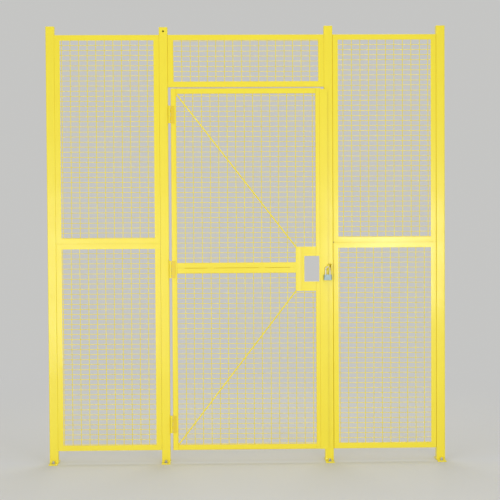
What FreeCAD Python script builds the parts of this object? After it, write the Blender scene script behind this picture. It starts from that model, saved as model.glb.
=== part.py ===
import FreeCAD, Part
import os
import re

# Wire partition door: a hinged wire-mesh leaf under a fixed transom, hung between
# square tube posts, with one whole bay of partition panels on each side.
# X runs along the partition, Y to the back, Z up, in millimetres. The origin is the
# middle of the hinge post's base plate, on the floor.

doc = FreeCAD.newDocument("wire_partition_door")

SIZES = [
    ("post_side", 50.8, "square tube post, outside"),
    ("post_wall", 2.0, "post wall"),
    ("post_round", 4.0, "post corner radius"),
    ("post_stub", 50.8, "post length above the panels, cap included"),
    ("hinge_post_drop", 5.8, "hinge post's top below the other posts' tops"),
    ("cap_thick", 3.0, "post cap on top of the tube"),
    ("cap_plug", 14.0, "depth of the cap's plug in the tube"),
    ("cap_play", 0.2, "cap plug clear of the tube, each side"),
    ("top_hole_dia", 11.0, "hole in the hinge post's front wall"),
    ("top_hole_drop", 24.2, "that hole below the post top"),
    ("plate_length", 152.4, "base plate, front to back"),
    ("plate_thick", 6.35, "base plate thickness"),
    ("anchor_spacing", 101.6, "floor anchor holes, front to back"),
    ("anchor_hole_dia", 11.1, "floor anchor hole"),
    ("opening_width", 914.4, "clear width between hinge post and latch post"),
    ("bay_width", 609.6, "side bay, clear width between its posts"),
    ("sweep_gap", 76.2, "floor to the underside of the panels and the leaf"),
    ("panel_height", 1219.2, "one of the two stacked side panels"),
    ("transom_height", 304.8, "fixed panel over the leaf"),
    ("panel_setback", 1.0, "panel face behind the post face"),
    ("angle_leg", 31.75, "frame angle, leg width"),
    ("angle_wall", 3.2, "frame angle, leg thickness"),
    ("upright_wire", 4.1, "upright mesh wire"),
    ("cross_wire", 3.4, "cross mesh wire"),
    ("wire_sink", 0.4, "depth that welding sinks one wire in the other"),
    ("upright_pitch", 50.0, "upright wires, centre to centre"),
    ("cross_pitch", 29.65, "cross wires, centre to centre"),
    ("mesh_edge", 3.0, "wire ends clear of the angle's back leg"),
    ("mesh_lap", 12.0, "mesh lap behind the lock plate"),
    ("left_upper_upright", 591.4, "upper left mesh, an upright from the panel's left edge"),
    ("left_upper_cross", 59.2, "upper left mesh, a cross wire below the panel's top"),
    ("left_lower_upright", 586.6, "lower left mesh, an upright from the panel's left edge"),
    ("left_lower_cross", 58.2, "lower left mesh, a cross wire below the panel's top"),
    ("right_upper_upright", 11.8, "upper right mesh, an upright from the panel's left edge"),
    ("right_upper_cross", 59.0, "upper right mesh, a cross wire below the panel's top"),
    ("right_lower_upright", 38.9, "lower right mesh, an upright from the panel's left edge"),
    ("right_lower_cross", 60.2, "lower right mesh, a cross wire below the panel's top"),
    ("transom_upright", 432.2, "transom mesh, an upright from the panel's left edge"),
    ("transom_cross", 65.2, "transom mesh, a cross wire below the panel's top"),
    ("leaf_upright", 29.7, "leaf mesh, an upright from the leaf's hinge edge"),
    ("leaf_upper_cross", 44.8, "leaf's upper mesh, a cross wire below the leaf's top"),
    ("leaf_lower_cross", 60.2, "leaf's lower mesh, a cross wire below the middle rails' seam"),
    ("hinge_gap", 16.0, "hinge post to leaf"),
    ("latch_gap", 20.0, "leaf to latch post"),
    ("door_top_gap", 8.0, "leaf to transom"),
    ("door_proud", 5.0, "leaf face in front of the post face"),
    ("seam_rise", 10.5, "middle rails' seam above the leaf's middle"),
    ("lock_rise", 2.5, "lock plate's centre above the leaf's middle"),
    ("middle_hinge_rise", 2.5, "middle hinge above the leaf's middle"),
    ("hinge_spacing", 910.0, "top and bottom hinge centres from the leaf's middle"),
    ("hinge_length", 101.6, "one hinge"),
    ("knuckle_dia", 14.0, "hinge knuckle"),
    ("knuckle_gap", 0.6, "between neighbouring knuckles"),
    ("leaf_thick", 3.0, "hinge leaf thickness"),
    ("leaf_width", 22.0, "hinge leaf width"),
    ("leaf_play", 0.8, "hinge leaf clear of the other leaf's knuckles"),
    ("pin_dia", 8.0, "hinge pin"),
    ("pin_play", 0.05, "pin running clearance, on the radius"),
    ("pin_head", 2.5, "height of the pin's button head"),
    ("lock_width", 118.5, "lock plate, from the latch stile's face leg"),
    ("lock_height", 261.5, "lock plate height"),
    ("hand_width", 87.0, "hand hole width"),
    ("hand_height", 150.0, "hand hole height"),
    ("hand_edge", 12.0, "hand hole to the leaf's latch edge"),
    ("brace_dia", 8.0, "diagonal brace rod"),
    ("brace_play", 0.3, "brace rod in front of the mesh"),
    ("strip_lap", 8.0, "cover strip lap on the latch stile"),
    ("strip_reach", 19.6, "cover strip reach over the latch post"),
    ("strip_thick", 3.2, "cover strip thickness"),
    ("strip_inset", 6.0, "cover strip short of the leaf's top"),
    ("lug_thick", 4.0, "padlock lug thickness"),
    ("lug_height", 40.0, "padlock lug height"),
    ("lug_front", 14.0, "padlock lug reach in front of its hole's centre"),
    ("lug_round", 9.0, "padlock lug corner radius"),
    ("lug_hole_dia", 14.0, "padlock lug hole"),
    ("lug_rise", 11.5, "lug hole above the leaf's middle"),
    ("shackle_dia", 7.5, "padlock shackle rod"),
    ("shackle_inside", 17.5, "shackle, clear width"),
    ("shackle_side_play", 2.0, "shackle leg beside the door lug"),
    ("post_lug_play", 2.5, "shackle leg beside the post lug"),
    ("shackle_lift", 1.0, "shackle bend above the lug hole's centre, because it curves inside the hole"),
    ("shackle_rise", 33.0, "shackle bend centre above the padlock body"),
    ("shackle_depth", 14.0, "shackle legs in the padlock body"),
    ("socket_play", 0.2, "shackle leg in its socket, on the radius"),
    ("padlock_width", 46.0, "padlock body width"),
    ("padlock_height", 32.0, "padlock body height"),
    ("padlock_depth", 20.0, "padlock body, front to back"),
    ("padlock_round", 5.0, "padlock body corner radius"),
    ("padlock_clear", 5.0, "padlock body in front of the cover strip"),
]
NAMES = {alias for alias, value, note in SIZES}

sheet = doc.addObject("Spreadsheet::Sheet", "Sizes")
for row, (alias, value, note) in enumerate(SIZES, 1):
    sheet.set(f"A{row}", note)
    sheet.set(f"B{row}", str(value))
    sheet.setAlias(f"B{row}", alias)
doc.recompute()

# Places along the partition, worked out from the sizes.
POST_EDGE = "(post_side / 2)"
LATCH_POST = "(post_side + opening_width)"
LEFT_END_POST = "(0 - post_side - bay_width)"
RIGHT_END_POST = "(2 * post_side + opening_width + bay_width)"
DOOR_LEFT = "(post_side / 2 + hinge_gap)"
DOOR_RIGHT = "(post_side / 2 + opening_width - latch_gap)"
LOCK_RIGHT = f"({DOOR_RIGHT} - angle_leg)"
LOCK_LEFT = f"({LOCK_RIGHT} - lock_width)"
HAND_RIGHT = f"({DOOR_RIGHT} - hand_edge)"
STRIP_RIGHT = "(post_side / 2 + opening_width + strip_reach)"
HINGE_X = "(post_side / 2 + hinge_gap / 2)"

# Depths, front to back.
POST_FACE = "(0 - post_side / 2)"
PANEL_FACE = "(panel_setback - post_side / 2)"
DOOR_FACE = "(0 - post_side / 2 - door_proud)"
STRIP_FACE = f"({DOOR_FACE} - strip_thick)"
HINGE_Y = f"({DOOR_FACE} - knuckle_dia / 2)"
PADLOCK_Y = f"({STRIP_FACE} - padlock_clear - padlock_depth / 2)"

# Heights above the floor.
PANEL_SEAM = "(sweep_gap + panel_height)"
PANEL_TOP = "(sweep_gap + 2 * panel_height)"
TRANSOM_BOTTOM = f"({PANEL_TOP} - transom_height)"
DOOR_TOP = f"({TRANSOM_BOTTOM} - door_top_gap)"
DOOR_MIDDLE = f"((sweep_gap + {DOOR_TOP}) / 2)"
DOOR_HEIGHT = f"({DOOR_TOP} - sweep_gap)"
POST_TOP = f"({PANEL_TOP} + post_stub)"
SEAM_Z = f"({DOOR_MIDDLE} + seam_rise)"
LOCK_Z = f"({DOOR_MIDDLE} + lock_rise)"
LUG_Z = f"({DOOR_MIDDLE} + lug_rise)"

parts = []


def sized(text):
    """An expression with every size name pointed at its cell of the sheet."""
    return re.sub(r"[a-z_]+", lambda m: "Sizes." + m[0] if m[0] in NAMES else m[0], text)


def bind(obj, **expressions):
    """Bind properties to expressions; x, y and z are the object's place."""
    for prop, text in expressions.items():
        path = f"Placement.Base.{prop}" if prop in "xyz" else prop
        obj.setExpression(path, sized(str(text)))
    return obj


def box(name, x, y, z, length, width, height):
    return bind(doc.addObject("Part::Box", name), x=x, y=y, z=z,
                Length=length, Width=width, Height=height)


def rod(name, x, y, z, radius, height, axis="z"):
    """A cylinder from a point along +X, +Y or +Z."""
    obj = bind(doc.addObject("Part::Cylinder", name), x=x, y=y, z=z, Radius=radius, Height=height)
    turns = {"x": ((0, 1, 0), 90), "y": ((1, 0, 0), -90), "z": ((0, 0, 1), 0)}
    direction, degrees = turns[axis]
    obj.Placement.Rotation = FreeCAD.Rotation(FreeCAD.Vector(*direction), degrees)
    return obj


def cut(name, base, *tools):
    for number, tool in enumerate(tools, 1):
        result = doc.addObject("Part::Cut", name if number == len(tools) else f"{name}_stage")
        result.Base, result.Tool = base, tool
        base = result
    return base


def fuse(name, *pieces):
    result = doc.addObject("Part::MultiFuse", name)
    result.Shapes = list(pieces)
    result.Refine = True
    return result


def part(obj, label):
    """Name a finished sub-part and list it for export."""
    obj.Label = label
    parts.append(obj)
    return obj


def feature(body, kind, name, **expressions):
    return bind(body.newObject(f"PartDesign::{kind}", name), **expressions)


def pattern(body, originals, axis, offset, count):
    """A linear pattern along one of the body's own axes."""
    row = body.newObject("PartDesign::LinearPattern", "Row")
    row.Originals = originals
    line = next(f for f in body.Origin.OriginFeatures if f.Role == axis)
    row.Direction = (line, [""])
    row.Mode = "Spacing"
    bind(row, Offset=offset, Occurrences=count)
    body.Tip = row
    return row


def edges_along(shape, axis, keep=lambda edge: True):
    """Names of the straight edges of a shape that run along an axis."""
    names = []
    for number, edge in enumerate(shape.Edges, 1):
        if abs(abs(edge.tangentAt(edge.FirstParameter).dot(axis)) - 1) < 1e-6 and keep(edge):
            names.append(f"Edge{number}")
    return names


def rounded(body, base, names, radius):
    fillet = body.newObject("PartDesign::Fillet", "Rounding")
    fillet.Base = (base, names)
    bind(fillet, Radius=radius)
    body.Tip = fillet
    return fillet


# Posts: square tube with rolled corners, each on its own base plate and closed by a cap.
UP = FreeCAD.Vector(0, 0, 1)
ALONG = FreeCAD.Vector(1, 0, 0)
POSTS = [("hinge_post", "0", f"({POST_TOP} - hinge_post_drop)"), ("latch_post", LATCH_POST, POST_TOP),
         ("left_end_post", LEFT_END_POST, POST_TOP), ("right_end_post", RIGHT_END_POST, POST_TOP)]
caps = []
for name, centre, post_top in POSTS:
    post = doc.addObject("PartDesign::Body", name)
    outside = feature(post, "AdditiveBox", "Outside", x=f"{centre} - {POST_EDGE}", y=POST_FACE,
                      z="plate_thick", Length="post_side", Width="post_side",
                      Height=f"{post_top} - plate_thick - cap_thick")
    doc.recompute()
    rounded(post, outside, edges_along(outside.Shape, UP), "post_round")
    feature(post, "SubtractiveBox", "Inside", x=f"{centre} - {POST_EDGE} + post_wall",
            y=f"{POST_FACE} + post_wall", z="plate_thick", Length="post_side - 2 * post_wall",
            Width="post_side - 2 * post_wall", Height=f"{post_top} - plate_thick - cap_thick")
    if name == "hinge_post":
        hole = feature(post, "SubtractiveCylinder", "TopHole", x=centre, y=f"{POST_FACE} - post_wall",
                       z=f"{post_top} - top_hole_drop", Radius="top_hole_dia / 2", Height="3 * post_wall")
        hole.Placement.Rotation = FreeCAD.Rotation(ALONG, -90)
    part(post, name)

    plate = box(f"{name}_plate_blank", f"{centre} - {POST_EDGE}", "0 - plate_length / 2", "0",
                "post_side", "plate_length", "plate_thick")
    holes = [rod(f"{name}_anchor_hole", centre, f"{side} * anchor_spacing / 2", "0 - plate_thick",
                 "anchor_hole_dia / 2", "3 * plate_thick") for side in (-1, 1)]
    part(cut(f"{name}_plate", plate, *holes), f"{name}_base_plate")

    plug_edge = f"({POST_EDGE} - post_wall - cap_play)"
    caps.append(box(f"{name}_cap", f"{centre} - {POST_EDGE}", POST_FACE, f"{post_top} - cap_thick",
                    "post_side", "post_side", "cap_thick"))
    caps.append(box(f"{name}_plug", f"{centre} - {plug_edge}", f"0 - {plug_edge}",
                    f"{post_top} - cap_thick - cap_plug", f"2 * {plug_edge}", f"2 * {plug_edge}", "cap_plug"))
part(fuse("caps", *caps), "post_caps")


def angle_frame(name, left, bottom, width, height):
    """A welded rectangle of angle, one leg in the face and one back along the edge."""
    blank = box(f"{name}_blank", left, PANEL_FACE, bottom, width, "angle_leg", height)
    recess = box(f"{name}_recess", f"{left} + angle_wall", f"{PANEL_FACE} + angle_wall",
                 f"{bottom} + angle_wall", f"{width} - 2 * angle_wall", "angle_leg",
                 f"{height} - 2 * angle_wall")
    window = box(f"{name}_window", f"{left} + angle_leg", f"{PANEL_FACE} - angle_wall",
                 f"{bottom} + angle_leg", f"{width} - 2 * angle_leg", "3 * angle_wall",
                 f"{height} - 2 * angle_leg")
    return part(cut(name, blank, recess, window), name)


def mesh(name, face, left, right, bottom, top, column, row):
    """Welded wire: uprights behind a face leg, cross wires welded to their backs.

    One upright would stand at column and one cross wire at row; the rest follow their pitch.
    """
    first_x = f"({column} + upright_pitch * ceil(({left} + upright_wire / 2 - ({column})) / upright_pitch))"
    first_z = f"({row} + cross_pitch * ceil(({bottom} + cross_wire / 2 - ({row})) / cross_pitch))"
    columns = f"floor(({right} - upright_wire / 2 - {first_x}) / upright_pitch) + 1"
    rows = f"floor(({top} - cross_wire / 2 - {first_z}) / cross_pitch) + 1"
    body = doc.addObject("PartDesign::Body", name)
    upright = feature(body, "AdditiveBox", "Upright", x=f"{first_x} - upright_wire / 2",
                      y=f"{face} + angle_wall", z=bottom, Length="upright_wire", Width="upright_wire",
                      Height=f"{top} - ({bottom})")
    pattern(body, [upright], "X_Axis", "upright_pitch", columns)
    cross = feature(body, "AdditiveBox", "Cross", x=left,
                    y=f"{face} + angle_wall + upright_wire - wire_sink",
                    z=f"{first_z} - cross_wire / 2", Length=f"{right} - ({left})", Width="cross_wire",
                    Height="cross_wire")
    pattern(body, [cross], "Z_Axis", "cross_pitch", rows)
    return part(body, name)


# Fixed panels: two stacked on each side of the doorway and the transom over the leaf.
# Each panel's mesh sits in its frame as cut from the roll, so it has sizes of its own for
# where one upright and one cross wire stand.
LEFT_BAY = f"(0 - {POST_EDGE} - bay_width)"
RIGHT_BAY = f"({LATCH_POST} + {POST_EDGE})"
PANELS = [
    ("left_upper_panel", LEFT_BAY, PANEL_SEAM, "bay_width", "panel_height", "left_upper"),
    ("left_lower_panel", LEFT_BAY, "sweep_gap", "bay_width", "panel_height", "left_lower"),
    ("right_upper_panel", RIGHT_BAY, PANEL_SEAM, "bay_width", "panel_height", "right_upper"),
    ("right_lower_panel", RIGHT_BAY, "sweep_gap", "bay_width", "panel_height", "right_lower"),
    ("transom", POST_EDGE, TRANSOM_BOTTOM, "opening_width", "transom_height", "transom"),
]
for name, left, bottom, width, height, sheet_name in PANELS:
    angle_frame(f"{name}_frame", left, bottom, width, height)
    inset = "(angle_wall + mesh_edge)"
    mesh(f"{name}_mesh", PANEL_FACE, f"({left} + {inset})", f"({left} + {width} - {inset})",
         f"({bottom} + {inset})", f"({bottom} + {height} - {inset})",
         f"{left} + {sheet_name}_upright", f"{bottom} + {height} - {sheet_name}_cross")

# Leaf stiles: angle at full height. The latch stile's face leg is notched for the hand hole.
hand_notch = box("hand_notch", f"{HAND_RIGHT} - hand_width", f"{DOOR_FACE} - angle_wall",
                 f"{LOCK_Z} - hand_height / 2", "hand_width", "3 * angle_wall", "hand_height")
hinge_stile = box("hinge_stile_blank", DOOR_LEFT, DOOR_FACE, "sweep_gap",
                  "angle_leg", "angle_leg", DOOR_HEIGHT)
hinge_recess = box("hinge_stile_recess", f"{DOOR_LEFT} + angle_wall", f"{DOOR_FACE} + angle_wall",
                   "sweep_gap", "angle_leg", "angle_leg", DOOR_HEIGHT)
part(cut("hinge_stile", hinge_stile, hinge_recess), "door_hinge_stile")
latch_stile = box("latch_stile_blank", LOCK_RIGHT, DOOR_FACE, "sweep_gap",
                  "angle_leg", "angle_leg", DOOR_HEIGHT)
latch_recess = box("latch_stile_recess", f"{LOCK_RIGHT} - angle_wall", f"{DOOR_FACE} + angle_wall",
                   "sweep_gap", "angle_leg", "angle_leg", DOOR_HEIGHT)
part(cut("latch_stile", latch_stile, latch_recess, hand_notch), "door_latch_stile")


def door_rail(name, flange, side, end, copes):
    """Angle across the leaf: face leg between the stiles' face legs, flange coped behind them.

    The flange's outer face is at a height, with the face leg above it (1) or below it (-1).
    """
    start = f"({DOOR_LEFT} + angle_wall)"
    low = flange if side > 0 else f"{flange} - angle_leg"
    blank = box(f"{name}_blank", start, DOOR_FACE, low, f"{end} - {start}", "angle_leg", "angle_leg")
    recess = box(f"{name}_recess", start, f"{DOOR_FACE} + angle_wall", f"{low} + {side} * angle_wall",
                 f"{end} - {start}", "angle_leg", "angle_leg")
    notches = [box(f"{name}_cope", x, f"{DOOR_FACE} - angle_wall", f"{low} - angle_leg",
                   "angle_leg", "2 * angle_wall", "3 * angle_leg") for x in copes]
    return part(cut(name, blank, recess, *notches), name)


# Leaf rails: top and bottom between both stiles, and two angles back to back from the hinge
# stile to the lock plate.
RAIL_END = f"({DOOR_RIGHT} - angle_wall)"
door_rail("door_top_rail", DOOR_TOP, -1, RAIL_END, [DOOR_LEFT, LOCK_RIGHT])
door_rail("door_bottom_rail", "sweep_gap", 1, RAIL_END, [DOOR_LEFT, LOCK_RIGHT])
door_rail("door_upper_mid_rail", SEAM_Z, 1, LOCK_LEFT, [DOOR_LEFT])
door_rail("door_lower_mid_rail", SEAM_Z, -1, LOCK_LEFT, [DOOR_LEFT])

# Lock plate: in the plane of the face legs, with the hand hole that runs on into the latch stile.
lock_plate = box("lock_plate_blank", LOCK_LEFT, DOOR_FACE, f"{LOCK_Z} - lock_height / 2",
                 "lock_width", "angle_wall", "lock_height")
part(cut("lock_plate", lock_plate, hand_notch), "lock_plate")

# Leaf mesh: each half in a far sheet, a near sheet and a short piece beside the lock plate.
DOOR_COLUMN = f"{DOOR_LEFT} + leaf_upright"
MESH_LEFT = f"({DOOR_LEFT} + angle_wall + mesh_edge)"
MESH_RIGHT = f"({DOOR_RIGHT} - angle_wall - mesh_edge)"
LOCK_LAP = f"({LOCK_LEFT} + mesh_lap)"
for half, sign, row in (("upper", "1", f"{DOOR_TOP} - leaf_upper_cross"),
                        ("lower", "-1", f"{SEAM_Z} - leaf_lower_cross")):
    far = f"({DOOR_MIDDLE} + {sign} * ({DOOR_HEIGHT} / 2 - angle_wall - mesh_edge))"
    near = f"({LOCK_Z} + {sign} * (lock_height / 2 - mesh_lap))"
    seam = f"(({far} + {near}) / 2)"
    rail = f"({SEAM_Z} + {sign} * (angle_wall + mesh_edge))"
    for place, right, inner, outer in (("far", MESH_RIGHT, seam, far), ("near", MESH_RIGHT, near, seam),
                                       ("lock_side", LOCK_LAP, rail, near)):
        bottom, top = (inner, outer) if half == "upper" else (outer, inner)
        mesh(f"door_{half}_mesh_{place}", DOOR_FACE, MESH_LEFT, right, bottom, top, DOOR_COLUMN, row)


def brace(name, side):
    """A rod from the leaf's hinge corner to the lock plate's corner, cut to both.

    The bar is made over long, by a share of its run at each end, and the frame cuts it.
    """
    over = "(1 / 8)"
    outer = f"({DOOR_MIDDLE} + {side} * ({DOOR_HEIGHT} / 2 - angle_leg))"
    corner = f"({LOCK_Z} + {side} * lock_height / 2)"
    run = f"({LOCK_LEFT} - {DOOR_LEFT} - angle_leg)"
    rise = f"({side} * ({outer} - {corner}))"
    length = f"sqrt({run} ^ 2 + {rise} ^ 2)"
    depth = f"{DOOR_FACE} + angle_wall - brace_play - brace_dia / 2"
    bar = bind(doc.addObject("Part::Cylinder", f"{name}_bar"), x=f"{DOOR_LEFT} + angle_leg - {over} * {run}",
               y=depth, z=f"{outer} + {side} * {over} * {rise}", Radius="brace_dia / 2",
               Height=f"(1 + 2 * {over}) * {length}")
    bar.Placement.Rotation = FreeCAD.Rotation(FreeCAD.Vector(0, 1, 0), 90)
    bar.setExpression("Placement.Rotation.Angle", sized(f"90 deg + {side} * atan({rise} / {run})"))
    rail = f"({SEAM_Z} + {side} * angle_leg)"
    low, high = (rail, outer) if side > 0 else (outer, rail)
    window = box(f"{name}_window", f"{DOOR_LEFT} + angle_leg", f"{DOOR_FACE} - angle_leg", low,
                 f"{LOCK_RIGHT} - {DOOR_LEFT} - angle_leg", "2 * angle_leg", f"{high} - {low}")
    inside = doc.addObject("Part::Common", f"{name}_inside")
    inside.Base, inside.Tool = bar, window
    plate = box(f"{name}_plate", LOCK_LEFT, f"{DOOR_FACE} - angle_leg", f"{LOCK_Z} - lock_height / 2",
                "2 * lock_width", "2 * angle_leg", "lock_height")
    return part(cut(name, inside, plate), name)


# Braces: a thin rod in each half of the leaf, in front of the mesh.
brace("door_upper_brace", 1)
brace("door_lower_brace", -1)

# Cover strip: flat bar on the latch stile that laps over the gap and the latch post.
STRIP_LEFT = f"({DOOR_RIGHT} - strip_lap)"
strip = box("strip", STRIP_LEFT, STRIP_FACE, "sweep_gap",
            f"{STRIP_RIGHT} - {STRIP_LEFT}", "strip_thick", f"{DOOR_HEIGHT} - strip_inset")
part(strip, "door_cover_strip")


def hinge(name, height):
    """A butt hinge: two knuckles on the leaf's face plate between three on the post's side plate."""
    segment = "(hinge_length / 5)"
    bottom = f"({height} - hinge_length / 2)"
    knuckle_height = f"{segment} - knuckle_gap"
    root = "(knuckle_dia / 2 + leaf_play)"
    sides = [
        ("post", 0, 3, dict(x=POST_EDGE, y=f"{HINGE_Y} + {root}", Length="leaf_thick", Width="leaf_width"),
         dict(x=POST_EDGE, y=HINGE_Y, Length="leaf_thick", Width=root)),
        ("door", 1, 2, dict(x=f"{HINGE_X} + {root}", y=f"{DOOR_FACE} - leaf_thick", Length="leaf_width",
                            Width="leaf_thick"),
         dict(x=HINGE_X, y=f"{DOOR_FACE} - leaf_thick", Length=root, Width="leaf_thick")),
    ]
    for side, first, count, plate_box, tongue_box in sides:
        body = doc.addObject("PartDesign::Body", f"{name}_{side}_leaf")
        start = f"{bottom} + {first} * {segment} + knuckle_gap / 2"
        feature(body, "AdditiveBox", "Plate", z=bottom, Height="hinge_length", **plate_box)
        tongue = feature(body, "AdditiveBox", "Tongue", z=start, Height=knuckle_height, **tongue_box)
        knuckle = feature(body, "AdditiveCylinder", "Knuckle", x=HINGE_X, y=HINGE_Y, z=start,
                          Radius="knuckle_dia / 2", Height=knuckle_height)
        pattern(body, [tongue, knuckle], "Z_Axis", f"2 * {segment}", count)
        feature(body, "SubtractiveCylinder", "Bore", x=HINGE_X, y=HINGE_Y, z=bottom,
                Radius="pin_dia / 2 + pin_play", Height="hinge_length")
        part(body, f"{name}_{side}_leaf")
    shank = rod(f"{name}_shank", HINGE_X, HINGE_Y, bottom, "pin_dia / 2", "hinge_length")
    head = rod(f"{name}_head", HINGE_X, HINGE_Y, f"{height} + hinge_length / 2 - knuckle_gap / 2",
               "knuckle_dia / 2", "pin_head")
    return [shank, head]


# Hinges: three butt hinges, their knuckles in front of the gap on the opening side.
pins = []
for name, rise in (("top_hinge", "hinge_spacing"), ("middle_hinge", "middle_hinge_rise"),
                   ("bottom_hinge", "(0 - hinge_spacing)")):
    pins += hinge(name, f"({DOOR_MIDDLE} + {rise})")
part(fuse("pins", *pins), "hinge_pins")


def lug(name, left, back):
    """An upright tab with rounded front corners and a hole for the padlock."""
    body = doc.addObject("PartDesign::Body", name)
    front = f"({PADLOCK_Y} - lug_front)"
    tab = feature(body, "AdditiveBox", "Tab", x=left, y=front, z=f"{LUG_Z} - lug_height / 2",
                  Length="lug_thick", Width=f"{back} - {front}", Height="lug_height")
    doc.recompute()
    middle = tab.Shape.BoundBox.Center.y
    corners = edges_along(tab.Shape, ALONG, lambda edge: edge.CenterOfMass.y < middle)
    rounded(body, tab, corners, "lug_round")
    hole = feature(body, "SubtractiveCylinder", "Hole", x=f"{left} - lug_thick", y=PADLOCK_Y, z=LUG_Z,
                   Radius="lug_hole_dia / 2", Height="3 * lug_thick")
    hole.Placement.Rotation = FreeCAD.Rotation(FreeCAD.Vector(0, 1, 0), 90)
    return part(body, name)


# Padlock lugs: one on the cover strip's edge, one on the latch post beside it.
PADLOCK_X = f"({STRIP_RIGHT} + lug_thick + shackle_side_play - shackle_inside / 2)"
POST_LUG = f"({PADLOCK_X} + shackle_inside / 2 + shackle_dia + post_lug_play)"
lug("door_lug", STRIP_RIGHT, DOOR_FACE)
lug("post_lug", POST_LUG, POST_FACE)

# Padlock: hangs by its shackle in the door lug. Where the bend passes through the lug it has
# dropped from its crown, so the bend's centre is set from that point.
BEND = "((shackle_inside + shackle_dia) / 2)"
LUG_OFFSET = f"({STRIP_RIGHT} + lug_thick / 2 - {PADLOCK_X})"
BEND_Z = f"({LUG_Z} + shackle_lift - sqrt({BEND} ^ 2 - {LUG_OFFSET} ^ 2))"
BODY_TOP = f"({BEND_Z} - shackle_rise)"
bend = bind(doc.addObject("Part::Torus", "shackle_bend"), x=PADLOCK_X, y=PADLOCK_Y, z=BEND_Z,
            Radius1=BEND, Radius2="shackle_dia / 2")
bend.Angle3 = 180
bend.Placement.Rotation = FreeCAD.Rotation(ALONG, 90)
legs = [rod("shackle_leg", f"{PADLOCK_X} + {side} * {BEND}", PADLOCK_Y, f"{BODY_TOP} - shackle_depth",
            "shackle_dia / 2", "shackle_rise + shackle_depth") for side in (-1, 1)]
part(fuse("shackle", bend, *legs), "padlock_shackle")

padlock = doc.addObject("PartDesign::Body", "padlock_body")
case = feature(padlock, "AdditiveBox", "Case", x=f"{PADLOCK_X} - padlock_width / 2",
               y=f"{PADLOCK_Y} - padlock_depth / 2", z=f"{BODY_TOP} - padlock_height",
               Length="padlock_width", Width="padlock_depth", Height="padlock_height")
doc.recompute()
rounded(padlock, case, edges_along(case.Shape, UP), "padlock_round")
for side in (-1, 1):
    feature(padlock, "SubtractiveCylinder", "Socket", x=f"{PADLOCK_X} + {side} * {BEND}", y=PADLOCK_Y,
            z=f"{BODY_TOP} - shackle_depth", Radius="shackle_dia / 2 + socket_play",
            Height="shackle_depth")
part(padlock, "padlock_body")

doc.recompute()

os.makedirs("parts", exist_ok=True)
for obj in doc.Objects:
    if "Invalid" in obj.State or "Error" in obj.State:
        raise RuntimeError(f"{obj.Name} failed: {obj.State}")
for obj in parts:
    if obj.Shape.isNull() or not obj.Shape.isValid():
        raise RuntimeError(f"{obj.Label} has no valid shape")
    obj.Shape.exportStep(os.path.join("parts", f"{obj.Label}.step"))
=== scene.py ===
import math
import random

import bmesh
import bpy
from bmesh.types import BMEdge, BMFace, BMVert
from mathutils import Matrix, Vector


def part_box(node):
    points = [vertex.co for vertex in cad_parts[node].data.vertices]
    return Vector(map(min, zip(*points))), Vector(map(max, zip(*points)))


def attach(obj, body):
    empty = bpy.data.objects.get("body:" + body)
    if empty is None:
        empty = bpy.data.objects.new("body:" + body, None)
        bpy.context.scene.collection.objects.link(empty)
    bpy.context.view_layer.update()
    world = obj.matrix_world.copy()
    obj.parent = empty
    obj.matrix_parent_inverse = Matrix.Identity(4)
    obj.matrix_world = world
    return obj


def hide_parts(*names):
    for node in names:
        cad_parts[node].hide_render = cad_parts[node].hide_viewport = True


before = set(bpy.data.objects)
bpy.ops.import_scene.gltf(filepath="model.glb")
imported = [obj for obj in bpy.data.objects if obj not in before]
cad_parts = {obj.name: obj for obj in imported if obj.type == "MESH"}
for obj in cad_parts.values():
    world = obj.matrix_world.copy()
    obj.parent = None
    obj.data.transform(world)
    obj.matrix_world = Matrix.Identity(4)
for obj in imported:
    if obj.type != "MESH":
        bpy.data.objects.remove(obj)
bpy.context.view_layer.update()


# Posts: square steel tube with rolled corners, sawn to length and closed by a cap on top.
# They are powder coated yellow, a glossy film with a slight orange peel. Edges are paler, a thinner
# coat with a painted highlight; seams and creases are painted darker as painted shade; dust near the floor.
POST_NAMES = ["hinge_post", "latch_post", "left_end_post", "right_end_post"]
CAP_EDGE = 0.0012
COAT_YELLOW = (0.95, 0.80, 0.032, 1)
COAT_DEEP = (0.92, 0.73, 0.016, 1)
THIN_COAT_AND_HIGHLIGHT = (0.95, 0.84, 0.13, 1)
PAINTED_SHADE_COLOUR = (0.80, 0.57, 0.008, 1)
COAT_DUST = (0.55, 0.50, 0.36, 1)
DARK_SPOT_BROWN = (0.42, 0.28, 0.005, 1)
DEEP_SHARE, THIN_AND_HIGHLIGHT_SHARE, PAINTED_SHADE_SHARE, DUST_SHARE = 0.35, 0.55, 0.75, 0.2
COAT_ROUGHNESS = 0.30
FILM_DULLS, SCUFF_DULLS, DUST_DULLS = 0.06, 0.07, 0.25
GLOSS_WEIGHT, GLOSS_ROUGHNESS = 0.25, 0.12
FILM_PER_METRE, FILM_DETAIL, FILM_STEP = 5, 3.0, (0.30, 0.70)
SCUFF_PER_METRE, SCUFF_DETAIL, SCUFF_STEP = 38, 5.0, (0.56, 0.74)
PEEL_PER_METRE, PEEL_DETAIL = 420, 1.5
PEEL_STRENGTH, PEEL_DEPTH = 0.12, 0.0006
DUST_TOP = 0.10
EDGE_ANGLE, FLAT_ANGLE = math.radians(50), math.radians(1)
SAME_POINT, TOUCH = 1e-6, 1e-5
SIDES = {"left": Vector((-1, 0, 0)), "right": Vector((1, 0, 0)),
         "bottom": Vector((0, 0, -1)), "top": Vector((0, 0, 1))}


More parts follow.
